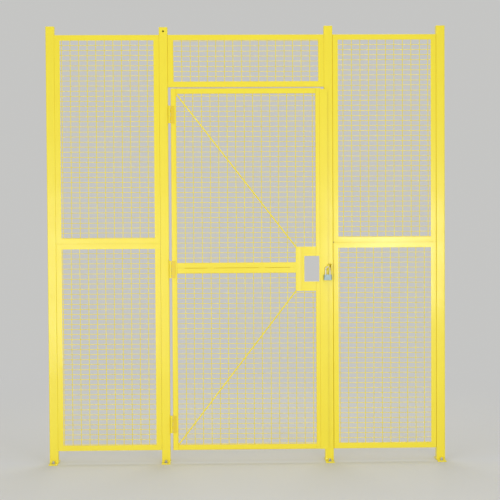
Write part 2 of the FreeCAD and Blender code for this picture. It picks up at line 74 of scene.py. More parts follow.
class Shade:
    """A socket in a material. Arithmetic on it adds Math nodes, and node() adds any other."""

    def __init__(self, tree, socket=None):
        self.tree, self.socket = tree, socket

    def feed(self, target, value):
        if isinstance(value, Shade):
            self.tree.links.new(value.socket, target)
        else:
            target.default_value = value

    def node(self, kind, settings=None, values=None, out=0):
        made = self.tree.nodes.new(kind)
        for name, value in (settings or {}).items():
            setattr(made, name, value)
        for name, value in (values or {}).items():
            self.feed(made.inputs[name], value)
        return Shade(self.tree, made.outputs[out])

    def maths(self, operation, a, b):
        return self.node("ShaderNodeMath", {"operation": operation}, {0: a, 1: b})

    def __add__(self, other):
        return self.maths("ADD", self, other)

    def __sub__(self, other):
        return self.maths("SUBTRACT", self, other)

    def __rsub__(self, other):
        return self.maths("SUBTRACT", other, self)

    def __mul__(self, other):
        return self.maths("MULTIPLY", self, other)

    __radd__, __rmul__ = __add__, __mul__

    def noise(self, scale, detail):
        """Cloudy noise over this place on the surface."""
        return self.node("ShaderNodeTexNoise", {}, {"Vector": self, "Scale": scale, "Detail": detail})

    def distance(self, point):
        """How far this place on the surface is from a point."""
        return self.node("ShaderNodeVectorMath", {"operation": "DISTANCE"}, {0: self, 1: point}, out="Value")

    def between(self, low, high):
        """0 at low, 1 at high and a smooth step from one to the other."""
        return self.node("ShaderNodeMapRange", {"interpolation_type": "SMOOTHSTEP"},
                         {"Value": self, "From Min": low, "From Max": high})

    def blend(self, one, other):
        """One colour going over to the other by this share."""
        return self.node("ShaderNodeMix", {"data_type": "RGBA"}, {0: self, 6: one, 7: other}, out=2)

    def bump(self, strength, depth):
        """The normal of a surface that rises and falls by this height."""
        return self.node("ShaderNodeBump", {}, {"Height": self, "Strength": strength, "Distance": depth})


def new_material(name):
    """A material with its shader's inputs and the place on the surface, from which its nodes start."""
    material = bpy.data.materials.new(name)
    material.use_nodes = True
    tree = material.node_tree
    place = Shade(tree).node("ShaderNodeTexCoord", out="Object")
    return material, tree.nodes["Principled BSDF"].inputs, place


def powder_coat(name, tint, spotted=None):
    """Yellow powder coat. Tint moves the film a little between its plain and its deep yellow.

    The coat is painted a dark rust-brown where the function given as its last argument gives 1 for the
    place.
    """
    material, inputs, place = new_material(name)
    height = place.node("ShaderNodeSeparateXYZ", {}, {"Vector": place}, out="Z")
    thin_and_highlight = place.node("ShaderNodeAttribute", {"attribute_name": "edge"}, out="Fac")
    painted_shade = place.node("ShaderNodeAttribute", {"attribute_name": "painted_shade"}, out="Fac")
    film = place.noise(FILM_PER_METRE, FILM_DETAIL).between(*FILM_STEP)
    scuff = place.noise(SCUFF_PER_METRE, SCUFF_DETAIL).between(*SCUFF_STEP)
    dust = (1 - height.between(0.0, DUST_TOP)) * scuff
    colour = (film * DEEP_SHARE + tint).blend(COAT_YELLOW, COAT_DEEP)
    # Paler on eased edges: a thinner coat and a painted highlight.
    colour = (thin_and_highlight * THIN_AND_HIGHLIGHT_SHARE).blend(colour, THIN_COAT_AND_HIGHLIGHT)
    # Darker in seam grooves, in the lock plate's crease and on the hinge plates: painted shade.
    colour = (painted_shade * PAINTED_SHADE_SHARE).blend(colour, PAINTED_SHADE_COLOUR)
    colour = (dust * DUST_SHARE).blend(colour, COAT_DUST)
    if spotted:
        colour = spotted(place).blend(colour, DARK_SPOT_BROWN)
    roughness = COAT_ROUGHNESS + film * FILM_DULLS + scuff * SCUFF_DULLS + dust * DUST_DULLS
    place.feed(inputs["Base Color"], colour)
    place.feed(inputs["Roughness"], roughness)
    inputs["Coat Weight"].default_value = GLOSS_WEIGHT
    inputs["Coat Roughness"].default_value = GLOSS_ROUGHNESS
    peel = place.noise(PEEL_PER_METRE, PEEL_DETAIL)
    place.feed(inputs["Normal"], peel.bump(PEEL_STRENGTH, PEEL_DEPTH))
    return material


def recoat(node, material):
    """A CAD node keeps its mesh and takes a better material."""
    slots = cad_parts[node].data.materials
    for number in range(len(slots)):
        slots[number] = material


def eased(bm, edges, width, segments=2):
    """Round off edges of a bmesh and give back the new faces."""
    return bmesh.ops.bevel(bm, geom=edges, offset=width, segments=segments, profile=0.5, affect="EDGES",
                           material=-1, clamp_overlap=True)["faces"]


def softened(node, width, heels=None):
    """A copy of a CAD node, its triangles joined to flat faces and its edges eased.

    Its front edges on the sides that heels names are eased by the widths given there, and that groove
    to the next piece is painted darker, as painted shade. The other edges are paler: thin coat and painted
    highlight.
    """
    bm = bmesh.new()
    bm.from_mesh(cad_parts[node].data)
    thin_and_highlight, painted_shade = bm.faces.layers.float.new("edge"), bm.faces.layers.float.new("painted_shade")
    bmesh.ops.remove_doubles(bm, verts=bm.verts, dist=SAME_POINT)
    bmesh.ops.dissolve_limit(bm, angle_limit=FLAT_ANGLE, verts=bm.verts, edges=bm.edges)
    low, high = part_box(node)

    def sharp_edges():
        return [e for e in bm.edges if len(e.link_faces) == 2 and e.calc_face_angle() > EDGE_ANGLE]

    for side, heel in (heels or {}).items():
        outward = SIDES[side]
        limit = max(low.dot(outward), high.dot(outward)) - TOUCH
        front = [e for e in sharp_edges()
                 if all(v.co.y < low.y + TOUCH and v.co.dot(outward) > limit for v in e.verts)]
        for face in eased(bm, front, heel):
            face[painted_shade] = 1.0
    others = [e for e in sharp_edges() if not any(f[painted_shade] for f in e.link_faces)]
    for face in eased(bm, others, width):
        face[thin_and_highlight] = 1.0
    return bm


def piece(name, bm, material, body, stands_for=()):
    """Finish a bmesh as a piece of the object, smooth but for its sharp edges."""
    bmesh.ops.recalc_face_normals(bm, faces=bm.faces)
    mesh = bpy.data.meshes.new(name)
    bm.to_mesh(mesh)
    bm.free()
    mesh.materials.append(material)
    mesh.shade_smooth()
    mesh.set_sharp_from_angle(angle=EDGE_ANGLE)
    obj = bpy.data.objects.new(name, mesh)
    bpy.context.scene.collection.objects.link(obj)
    flat = obj.modifiers.new("flat faces stay flat", "WEIGHTED_NORMAL")
    flat.keep_sharp = True
    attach(obj, body)
    if stands_for:
        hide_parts(*stands_for)


def painted(name, bm, coat, body, *nodes):
    """A piece in yellow paint, which stands for the CAD nodes that are named, if any."""
    piece(name, bm, coat, body, nodes)


post_coat = powder_coat("powder coat on posts", tint=0.0)
for name in POST_NAMES:
    recoat(name, post_coat)
painted("caps", softened("post_caps", CAP_EDGE), post_coat, "partition", "post_caps")

# Base plates: flat bar as wide as the post, with two anchor holes, welded to its foot in front and
# behind before coating. The weld is a rippled fillet in the corner between tube and plate.
PLATE_EDGE = 0.0008
FOOT_WELD = 0.0032
POST_ROUND = 0.004
BEAD_SIDES, BEAD_LEAST_STEPS = 6, 4
BEAD_END = 0.55
RIPPLE_LENGTH, RIPPLE_DEPTH = 0.0022, 0.10


def join(bm, small):
    """Move a finished small bmesh into a larger one."""
    mesh = bpy.data.meshes.new("small")
    small.to_mesh(mesh)
    small.free()
    bm.from_mesh(mesh)
    bpy.data.meshes.remove(mesh)


def bar(start, end, radius, sides, steps):
    """A bmesh of a closed round bar from point to point, with rings that part it into steps."""
    small = bmesh.new()
    run = end - start
    bmesh.ops.create_cone(small, cap_ends=True, segments=sides, radius1=radius, radius2=radius,
                          depth=run.length)
    long_edges = [e for e in small.edges if abs(e.verts[0].co.z - e.verts[1].co.z) > run.length / 2]
    bmesh.ops.subdivide_edges(small, edges=long_edges, cuts=steps - 1, use_grid_fill=True)
    turn = run.to_track_quat("Z", "Y").to_matrix().to_4x4()
    bmesh.ops.transform(small, matrix=Matrix.Translation((start + end) / 2) @ turn, verts=small.verts)
    return small


def bead(bm, start, end, radius):
    """A weld bead: a round run of filler that ripples along its length and thins at its ends."""
    run = end - start
    along = run.normalized()
    small = bar(start, end, radius, BEAD_SIDES, max(BEAD_LEAST_STEPS, round(run.length / RIPPLE_LENGTH)))
    for vert in small.verts:
        reach = (vert.co - start).dot(along)
        middle = start + along * reach
        ripple = 1 - RIPPLE_DEPTH + RIPPLE_DEPTH * math.cos(math.pi * reach / RIPPLE_LENGTH)
        taper = min(1.0, BEAD_END + min(reach, run.length - reach) / radius * (1 - BEAD_END))
        vert.co = middle + (vert.co - middle) * ripple * taper
    join(bm, small)


foot_welds = bmesh.new()
for name in POST_NAMES:
    node = f"{name}_base_plate"
    painted(f"{name}_plate", softened(node, PLATE_EDGE), post_coat, "partition", node)
    low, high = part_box(name)
    for y in (low.y, high.y):
        start, end = Vector((low.x + POST_ROUND, y, low.z)), Vector((high.x - POST_ROUND, y, low.z))
        bead(foot_welds, start, end, FOOT_WELD)
painted("foot_welds", foot_welds, post_coat, "partition")

# Floor anchors: zinc-plated studs with a washer and a hex nut, one in front of each post and one
# behind it. They are fitted after coating, so they stay bare.
ANCHOR_REACH = 0.0508
WASHER_RADIUS, WASHER_THICK, WASHER_SIDES, WASHER_RIM = 0.0105, 0.0018, 24, 0.0003
NUT_RADIUS, NUT_HEIGHT, NUT_SIDES, NUT_RIM = 0.0083, 0.0082, 6, 0.0007
STUD_RADIUS, STUD_END, STUD_SIDES, STUD_RIM = 0.0047, 0.007, 16, 0.0008
STUD_SINK = 0.001
ZINC = (0.60, 0.61, 0.60, 1)
ZINC_DULL = (0.36, 0.36, 0.34, 1)
ZINC_METALLIC, ZINC_ROUGHNESS = 0.9, 0.32
SPANGLE_PER_METRE, SPANGLE_DETAIL, SPANGLE_DULLS = 900, 3.0, 0.12
SPANGLE_STRENGTH, SPANGLE_DEPTH = 0.15, 0.0003
STAIN_PER_METRE, STAIN_DETAIL, STAIN_STEP = 160, 4.0, (0.45, 0.70)
STAIN_SHARE, STAIN_DULLS = 0.7, 0.18


def zinc_plate(name):
    """Zinc plating: spangled light grey metal, duller where it has weathered."""
    material, inputs, place = new_material(name)
    spangle = place.noise(SPANGLE_PER_METRE, SPANGLE_DETAIL)
    stain = place.noise(STAIN_PER_METRE, STAIN_DETAIL).between(*STAIN_STEP)
    place.feed(inputs["Base Color"], (stain * STAIN_SHARE).blend(ZINC, ZINC_DULL))
    place.feed(inputs["Roughness"], ZINC_ROUGHNESS + spangle * SPANGLE_DULLS + stain * STAIN_DULLS)
    inputs["Metallic"].default_value = ZINC_METALLIC
    place.feed(inputs["Normal"], spangle.bump(SPANGLE_STRENGTH, SPANGLE_DEPTH))
    return material


def disc(bm, centre, axis, radius, height, sides, rim):
    """A turned or hexagonal piece standing on a point along an axis, its end edges eased."""
    small = bar(centre, centre + axis * height, radius, sides, 1)
    end_edges = [e for e in small.edges if any(len(f.verts) == sides for f in e.link_faces)]
    eased(small, end_edges, rim)
    join(bm, small)


def nut_and_washer(bm, seat, axis, size=1.0):
    """A washer on a seat, a hex nut or head on it, and the stud's end."""
    nut_seat = seat + axis * WASHER_THICK * size
    stud_seat = seat + axis * ((WASHER_THICK + NUT_HEIGHT) * size - STUD_SINK)
    disc(bm, seat, axis, WASHER_RADIUS * size, WASHER_THICK * size, WASHER_SIDES, WASHER_RIM)
    disc(bm, nut_seat, axis, NUT_RADIUS * size, NUT_HEIGHT * size, NUT_SIDES, NUT_RIM * size)
    disc(bm, stud_seat, axis, STUD_RADIUS * size, STUD_END * size, STUD_SIDES, STUD_RIM * size)


zinc = zinc_plate("zinc plate")
anchors = bmesh.new()
for name in POST_NAMES:
    low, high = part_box(f"{name}_base_plate")
    for side in (-1, 1):
        seat = Vector(((low.x + high.x) / 2, side * ANCHOR_REACH, high.z))
        nut_and_washer(anchors, seat, SIDES["top"])
piece("anchors", anchors, zinc, "partition")

# Fixed panels: welded rectangles of rolled steel angle, one leg in the face and one turned back.
# The corners are ground flush in front, and keep their weld beads behind the face leg. The coat is
# painted a dark rust-brown spot where the right-hand panels' seam meets the latch post.
LEG = 0.03175
WALL = 0.0032
PANEL_EDGE = 0.0009
CORNER_WELD = 0.0020
# Widths of the eased front edges beside the posts and the seams; their grooves are painted darker, as
# painted shade.
LEFT_SEAM, RIGHT_SEAM, POST_SEAM, TRANSOM_SEAM = 0.0006, 0.0011, 0.0028, 0.0020
PANEL_HEELS = {
    "left_upper_panel": {"bottom": LEFT_SEAM},
    "left_lower_panel": {"top": LEFT_SEAM},
    "right_upper_panel": {"left": POST_SEAM, "right": POST_SEAM, "bottom": RIGHT_SEAM},
    "right_lower_panel": {"left": POST_SEAM, "right": POST_SEAM, "top": RIGHT_SEAM},
    "transom": {"left": TRANSOM_SEAM},
}
SPOT_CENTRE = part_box("right_upper_panel_frame")[0] + Vector((0.0029, 0.0004, 0.0006))
SPOT_RADIUS, SPOT_CORE = 0.0048, 0.8
RAGGED_PER_METRE, RAGGED_DETAIL, RAGGED_MIDDLE = 500, 2.0, 0.5


def dark_spot(place):
    """1 in the dark rust-brown spot, with a ragged rim."""
    ragged = (place.noise(RAGGED_PER_METRE, RAGGED_DETAIL) - RAGGED_MIDDLE) * SPOT_RADIUS
    return (place.distance(SPOT_CENTRE) + ragged).between(SPOT_RADIUS, SPOT_RADIUS * SPOT_CORE)


panel_coat = powder_coat("powder coat on panels", tint=0.06, spotted=dark_spot)
corner_welds = bmesh.new()
for name, heels in PANEL_HEELS.items():
    node = f"{name}_frame"
    painted(f"{name}_angle", softened(node, PANEL_EDGE, heels), panel_coat, "partition", node)
    low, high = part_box(node)
    for x, inward in ((low.x, 1), (high.x, -1)):
        for z, upward in ((low.z, 1), (high.z, -1)):
            outer = Vector((x + inward * WALL, low.y + WALL, z + upward * WALL))
            inner = Vector((x + inward * LEG, low.y + WALL, z + upward * LEG))
            bead(corner_welds, outer, inner, CORNER_WELD)
painted("panel_corner_welds", corner_welds, panel_coat, "partition")

# Panel bolts: the panels' back legs are bolted to the posts, and the stacked panels to each
# other, with zinc-plated hex bolts set inside the angle.
BOLT_SIZE = 0.72
BOLT_BACK = 0.0215
END_DISTANCE = 0.15
panel_bolts = bmesh.new()
for name in PANEL_HEELS:
    low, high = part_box(f"{name}_frame")
    heights = [low.z + END_DISTANCE, (low.z + high.z) / 2, high.z - END_DISTANCE]
    for z in heights if name != "transom" else heights[1:2]:
        for x, inward in ((low.x, 1), (high.x, -1)):
            seat = Vector((x + inward * WALL, low.y + BOLT_BACK, z))
            nut_and_washer(panel_bolts, seat, Vector((inward, 0, 0)), BOLT_SIZE)
    if name.endswith("upper_panel"):
        for x in (low.x + END_DISTANCE, high.x - END_DISTANCE):
            for upward in (-1, 1):
                seat = Vector((x, low.y + BOLT_BACK, low.z + upward * WALL))
                nut_and_washer(panel_bolts, seat, Vector((0, 0, upward)), BOLT_SIZE)
piece("panel_bolts", panel_bolts, zinc, "partition")

# Wire mesh: straight drawn wire, uprights in front and cross wires welded to their backs, cut
# from the roll and welded behind the face legs. Drawing and welding leave each wire bowed a little.
UPRIGHT_RADIUS, UPRIGHT_PITCH = 0.00205, 0.050
CROSS_RADIUS, CROSS_PITCH = 0.0017, 0.02965
WIRE_SINK = 0.0004
WIRE_EDGE = WALL + 0.003
WIRE_SIDES, WIRE_STEPS = 8, 4
WIRE_BOW, WIRE_BOW_SEED = 0.0009, 5
NUGGET, NUGGET_IN, NUGGET_FORWARD = 0.0030, 0.004, 0.0006
NO_PLATE = (math.inf, math.inf, math.inf)
# The place of one upright from a panel's left side, and of one cross wire from its top.
PANEL_WIRES = {
    "left_upper_panel": (0.5914, 0.0592), "left_lower_panel": (0.5866, 0.0582),
    "right_upper_panel": (0.0118, 0.0590), "right_lower_panel": (0.0389, 0.0602),
    "transom": (0.4322, 0.0652),
}
bows = random.Random(WIRE_BOW_SEED)


def wire(bm, start, end, radius, sideways):
    """A drawn wire from end to end, bowed a little sideways in the plane of the mesh."""
    run = end - start
    small = bar(start, end, radius, WIRE_SIDES, WIRE_STEPS)
    bow = [0.0] + [bows.uniform(-WIRE_BOW, WIRE_BOW) for step in range(WIRE_STEPS - 1)] + [0.0]
    for vert in small.verts:
        vert.co += sideways * bow[round((vert.co - start).dot(run) / run.length_squared * WIRE_STEPS)]
    join(bm, small)


def places(first, pitch, low, high, radius):
    """Centres of the wires of one pitch, one of which would stand at first, that fit in a span."""
    start = first + pitch * math.ceil((low + radius - first) / pitch)
    return [start + pitch * n for n in range(math.floor((high - radius - start) / pitch) + 1)]


def mesh_sheet(low, high, upright, cross, plate=NO_PLATE):
    """A sheet of mesh behind the face legs of a frame that reaches from low to high.

    Its wires stop short behind a plate that is given by its left side, bottom and top.
    """
    bm = bmesh.new()
    plate_left, plate_bottom, plate_top = plate
    left, right = low.x + WIRE_EDGE, high.x - WIRE_EDGE
    bottom, top = low.z + WIRE_EDGE, high.z - WIRE_EDGE
    y_upright = low.y + WALL + UPRIGHT_RADIUS
    y_cross = y_upright + UPRIGHT_RADIUS - WIRE_SINK + CROSS_RADIUS
    for x in places(low.x + upright, UPRIGHT_PITCH, left, right, UPRIGHT_RADIUS):
        behind_plate = x + UPRIGHT_RADIUS > plate_left
        above_plate = top > plate_top
        foot = plate_top if behind_plate and above_plate else bottom
        head = plate_bottom if behind_plate and not above_plate else top
        start, end = Vector((x, y_upright, foot)), Vector((x, y_upright, head))
        wire(bm, start, end, UPRIGHT_RADIUS, SIDES["right"])
        for z in (foot + NUGGET_IN, head - NUGGET_IN):
            spot = Matrix.Translation((x, y_upright - NUGGET_FORWARD, z))
            bmesh.ops.create_icosphere(bm, subdivisions=1, radius=NUGGET, matrix=spot)
    for z in places(high.z - cross, CROSS_PITCH, bottom, top, CROSS_RADIUS):
        behind_plate = plate_bottom < z + CROSS_RADIUS and z - CROSS_RADIUS < plate_top
        start = Vector((left, y_cross, z))
        end = Vector((plate_left if behind_plate else right, y_cross, z))
        wire(bm, start, end, CROSS_RADIUS, SIDES["top"])
    return bm


wire_coat = powder_coat("powder coat on wire", tint=0.02)
for name, (upright, cross) in PANEL_WIRES.items():
    low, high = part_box(f"{name}_frame")
    sheet = mesh_sheet(low, high, upright, cross)
    painted(f"{name}_wire", sheet, wire_coat, "partition", f"{name}_mesh")

# Leaf frame: angle stiles at full height, with the rails' face legs butted between them and the
# rails' flanges coped behind. The two middle rails stand back to back, stitch welded on the seam.
LEAF_FRAME = ["door_hinge_stile", "door_latch_stile", "door_top_rail", "door_bottom_rail",
              "door_upper_mid_rail", "door_lower_mid_rail"]
# The leaf's front edges beside the next piece are eased into grooves painted darker, as painted shade.
LEAF_EDGE, LEAF_HEEL = 0.0009, 0.0020
STILE_HEELS = {"left": LEAF_HEEL, "right": LEAF_HEEL}
RAIL_HEELS = {"bottom": LEAF_HEEL, "top": LEAF_HEEL}
STITCH_RADIUS, STITCH_RISE = 0.0030, 0.0007
FIRST_STITCH, LAST_STITCH = 0.044, 0.034
MIDDLE_STITCHES = [(0.2076, 0.2486), (0.5076, 0.5486)]
leaf_low, leaf_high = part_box("door_hinge_stile")[0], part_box("door_latch_stile")[1]
leaf_face = leaf_low.y
seam_z, seam_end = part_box("door_upper_mid_rail")[0].z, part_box("door_upper_mid_rail")[1].x


def upright_bead(bm, x, y, z_start, z_end, radius):
    """A weld bead that runs straight up or down."""
    bead(bm, Vector((x, y, z_start)), Vector((x, y, z_end)), radius)


leaf_coat = powder_coat("powder coat on leaf", tint=0.03)
for node in LEAF_FRAME:
    angle = softened(node, LEAF_EDGE, STILE_HEELS if node.endswith("stile") else RAIL_HEELS)
    painted(node.replace("door", "leaf"), angle, leaf_coat, "door", node)

stitches = bmesh.new()
seam_start = leaf_low.x + LEG
stitch_runs = [(seam_start, seam_start + FIRST_STITCH)]
stitch_runs += [(leaf_low.x + x0, leaf_low.x + x1) for x0, x1 in MIDDLE_STITCHES]
stitch_runs += [(seam_end - LAST_STITCH, seam_end)]
for x0, x1 in stitch_runs:
    for y in (leaf_face + STITCH_RADIUS - STITCH_RISE, leaf_face + LEG):
        bead(stitches, Vector((x0, y, seam_z)), Vector((x1, y, seam_z)), STITCH_RADIUS)
painted("leaf_stitch_welds", stitches, leaf_coat, "door")

leaf_welds = bmesh.new()
flange_front, flange_back = leaf_face + WALL, leaf_face + LEG
for x, inward in ((leaf_low.x, 1), (leaf_high.x, -1)):
    for z, upward in ((leaf_low.z, 1), (leaf_high.z, -1)):
        wall_x, wall_z = x + inward * WALL, z + upward * WALL
        upright_bead(leaf_welds, x + inward * LEG, flange_front, wall_z, z + upward * LEG, CORNER_WELD)
        start, end = Vector((wall_x, flange_front, wall_z)), Vector((wall_x, flange_back, wall_z))
        bead(leaf_welds, start, end, CORNER_WELD)
for upward in (-1, 1):
    x, z = leaf_low.x + WALL, seam_z + upward * WALL
    bead(leaf_welds, Vector((x, flange_front, z)), Vector((x, flange_back, z)), CORNER_WELD)
painted("leaf_corner_welds", leaf_welds, leaf_coat, "door")

# Lock plate: a cut plate in the plane of the face legs, with the hand hole that runs on into the
# latch stile. A light crease down its hinge side stiffens it, and the crease is painted darker as painted
# shade.
LOCK_EDGE = 0.0009
CREASE_IN, CREASE_HALF, CREASE_DEPTH, CREASE_SHADE = 0.0325, 0.006, 0.0009, 0.35
plate_low, plate_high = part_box("lock_plate")
crease_x = plate_low.x + CREASE_IN
lock_plate = softened("lock_plate", LOCK_EDGE)
for x in (crease_x - CREASE_HALF, crease_x, crease_x + CREASE_HALF):
    whole = lock_plate.verts[:] + lock_plate.edges[:] + lock_plate.faces[:]
    bmesh.ops.bisect_plane(lock_plate, geom=whole, plane_co=(x, 0, 0), plane_no=(1, 0, 0))
dip = [v for v in lock_plate.verts if abs(v.co.x - crease_x) < TOUCH]
bmesh.ops.translate(lock_plate, verts=dip, vec=(0, CREASE_DEPTH, 0))
# The crease's faces are painted darker, as painted shade.
painted_shade = lock_plate.faces.layers.float["painted_shade"]
for face in lock_plate.faces:
    if abs(face.calc_center_median().x - crease_x) < CREASE_HALF:
        face[painted_shade] = CREASE_SHADE
painted("leaf_lock_plate", lock_plate, leaf_coat, "door", "lock_plate")

# Leaf mesh: one sheet of the same wire above the middle rails and one below, each cut away
# behind the lock plate so that a hand can pass through the hole.
LEAF_UPRIGHT, UPPER_CROSS, LOWER_CROSS = 0.0297, 0.0448, 0.0602
PLATE_LAP = 0.012
LEAF_MESH_PARTS = ("far", "near", "lock_side")
lock = (plate_low.x + PLATE_LAP, plate_low.z + PLATE_LAP, plate_high.z - PLATE_LAP)
seam_left, seam_right = Vector((leaf_low.x, leaf_face, seam_z)), Vector((leaf_high.x, leaf_face, seam_z))
for half, low, high, cross in (("upper", seam_left, leaf_high, UPPER_CROSS),
                               ("lower", leaf_low, seam_right, LOWER_CROSS)):
    sheet = mesh_sheet(low, high, LEAF_UPRIGHT, cross, lock)
    nodes = [f"door_{half}_mesh_{part}" for part in LEAF_MESH_PARTS]
    painted(f"leaf_{half}_wire", sheet, wire_coat, "door", *nodes)

# Braces: round bar from the hinge-side corners to the corners of the lock plate, laid in front of
# the mesh and welded at both ends.
BRACE_WELD, BRACE_WELD_BACK = 0.0042, 0.006
BRACE_WELD_START, BRACE_WELD_END = 0.004, 0.020
brace_welds = bmesh.new()
for node in ("door_upper_brace", "door_lower_brace"):
    recoat(node, leaf_coat)
    low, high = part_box(node)
    rising = node == "door_lower_brace"
    y = low.y + BRACE_WELD_BACK
    start = Vector((low.x, y, low.z if rising else high.z))
    end = Vector((high.x, y, high.z if rising else low.z))
    along = (end - start).normalized()
    for point, inward in ((start, along), (end, -along)):
        bead(brace_welds, point + inward * BRACE_WELD_START, point + inward * BRACE_WELD_END, BRACE_WELD)
painted("brace_welds", brace_welds, leaf_coat, "door")

# Cover strip: flat bar welded along the latch stile, lapping over the gap and onto the latch post.
# Its stitch welds sit behind it, in the corner beside the stile.
# The strip's left front edge is eased into a groove painted darker, a painted shadow line by the stile.
STRIP_EDGE, STRIP_HEELS = 0.0008, {"left": 0.0016}
STRIP_WELD, STRIP_STITCH, STRIP_STITCHES = 0.0022, 0.030, 6
strip = softened("door_cover_strip", STRIP_EDGE, STRIP_HEELS)
painted("leaf_cover_strip", strip, leaf_coat, "door", "door_cover_strip")
low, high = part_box("door_cover_strip")
strip_welds = bmesh.new()
for number in range(STRIP_STITCHES):
    z = low.z + (high.z - low.z) * (number + 0.5) / STRIP_STITCHES
    upright_bead(strip_welds, leaf_high.x, high.y, z, z + STRIP_STITCH, STRIP_WELD)
painted("strip_welds", strip_welds, leaf_coat, "door")

# Hinges: three steel butt hinges with five knuckles on a pin. One leaf is welded to the side of
# the post and one to the face of the stile, whose plate is painted darker as the knuckle's painted shadow.
HINGE_EDGE, PIN_EDGE = 0.0005, 0.0006
HINGE_PLATE = 0.022
HINGE_WELD, HINGE_WELD_IN = 0.0019, 0.01
hinge_coat = powder_coat("powder coat on hinges", tint=0.0)
post_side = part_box("hinge_post")[1].x
post_hinge_welds, leaf_hinge_welds = bmesh.new(), bmesh.new()
for place in ("top", "middle", "bottom"):
    node = f"{place}_hinge_post_leaf"
    painted(f"{place}_hinge_on_post", softened(node, HINGE_EDGE), hinge_coat, "partition", node)
    low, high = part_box(node)
    foot, head = low.z + HINGE_WELD_IN, high.z - HINGE_WELD_IN
    upright_bead(post_hinge_welds, post_side, high.y, foot, head, HINGE_WELD)
    node = f"{place}_hinge_door_leaf"
    low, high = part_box(node)
    hinge_leaf = softened(node, HINGE_EDGE)
    # The leaf's plate beside the knuckle is painted darker, as the knuckle's painted shadow.
    painted_shade = hinge_leaf.faces.layers.float["painted_shade"]
    for face in hinge_leaf.faces:
        face[painted_shade] = float(face.calc_center_median().x > high.x - HINGE_PLATE)
    painted(f"{place}_hinge_on_leaf", hinge_leaf, hinge_coat, "door", node)
    foot, head = low.z + HINGE_WELD_IN, high.z - HINGE_WELD_IN
    upright_bead(leaf_hinge_welds, high.x, leaf_face, foot, head, HINGE_WELD)
painted("hinge_welds_on_leaf", leaf_hinge_welds, hinge_coat, "door")
painted("hinge_welds_on_post", post_hinge_welds, hinge_coat, "partition")
painted("hinge_pin_heads", softened("hinge_pins", PIN_EDGE), hinge_coat, "partition", "hinge_pins")

# Lugs: two tabs of plate with a hole each, one on the cover strip's edge and one on the latch
# post, both welded on. The padlock's shackle goes through both when the leaf is locked.
LUG_EDGE = 0.0006
LUG_WELD, LUG_WELD_IN = 0.0024, 0.002
for node, body, coat, carrier in (("door_lug", "door", leaf_coat, "door_cover_strip"),
                                  ("post_lug", "partition", post_coat, "latch_post")):
    painted(f"{node}_tab", softened(node, LUG_EDGE), coat, body, node)
    low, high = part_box(node)
    carrier_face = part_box(carrier)[0].y
    lug_welds = bmesh.new()
    for x in (low.x,) if body == "door" else (low.x, high.x):
        upright_bead(lug_welds, x, carrier_face, low.z + LUG_WELD_IN, high.z - LUG_WELD_IN, LUG_WELD)
    painted(f"{node}_welds", lug_welds, coat, body)

# Padlock: a laminated steel body, riveted up from plates, with a hardened shackle of round bar.
# The plates' edges are bright and brushed, and the plug is set in the underside, its keyway a dark plate of
# painted shade.
STEEL = (0.38, 0.49, 0.49, 1)
DARK_MARKS_AND_KEYWAY_SHADE = (0.10, 0.13, 0.15, 1)
SHACKLE_STEEL = (0.82, 0.82, 0.76, 1)
STEEL_ROUGHNESS = 0.38
CASE_BRUSHING, KEYWAY_BRUSHING, SHACKLE_BRUSHING = (4, 4, 60), (30, 4, 4), (30, 30, 6)
BRUSH_SCALE, BRUSH_DETAIL, BRUSH_SHARE, BRUSH_DULLS = 60, 4.0, 0.15, 0.16
BRUSH_STRENGTH, BRUSH_DEPTH = 0.2, 0.0002
MARKS_PER_METRE, MARKS_DETAIL, MARKS_STEP = 120, 4.0, (0.50, 0.75)
MARKS_SHARE, MARKS_DULLS = 0.45, 0.14
LAMINAS, LAMINA_GAP, LAMINA_INSET, LAMINA_RIM = 8, 0.0003, 0.0004, 0.0004
CASE_ROUND, CASE_ROUND_STEPS = 0.005, 5
LEVEL_FACE = 0.9
RIVET, RIVET_FLATTENING, RIVET_SINK = 0.0026, 0.35, 0.0005
RIVET_X, RIVET_Y = 0.0175, 0.0055
RIVET_SIDES, RIVET_RINGS = 12, 6
PLUG_RADIUS, PLUG_RISE, PLUG_SINK, PLUG_SIDES, PLUG_RIM = 0.0062, 0.0006, 0.001, 24, 0.0003
KEYWAY_SIZE, KEYWAY_EDGE = Vector((0.0018, 0.0075, 0.0004)), 0.0001
ROD_SIDES, BEND_STEPS = 16, 20


def brushed_steel(name, colour, brushing):
    """Steel with fine brush lines and darker handling marks.

    Brushing scales the lines' pattern: they lie closer along an axis with a larger scale.
    """
    material, inputs, place = new_material(name)
    stretched = place.node("ShaderNodeMapping", {}, {"Vector": place, "Scale": brushing})
    lines = stretched.noise(BRUSH_SCALE, BRUSH_DETAIL)
    marks = place.noise(MARKS_PER_METRE, MARKS_DETAIL).between(*MARKS_STEP)
    place.feed(inputs["Base Color"], (marks * MARKS_SHARE + lines * BRUSH_SHARE).blend(colour, DARK_MARKS_AND_KEYWAY_SHADE))
    place.feed(inputs["Roughness"], STEEL_ROUGHNESS + lines * BRUSH_DULLS + marks * MARKS_DULLS)
    inputs["Metallic"].default_value = 1.0
    place.feed(inputs["Normal"], lines.bump(BRUSH_STRENGTH, BRUSH_DEPTH))
    return material


def block(centre, size):
    """A bmesh of a box of a size around a centre."""
    small = bmesh.new()
    to_size = Matrix.Diagonal(size).to_4x4()
    bmesh.ops.create_cube(small, size=1.0, matrix=Matrix.Translation(centre) @ to_size)
    return small


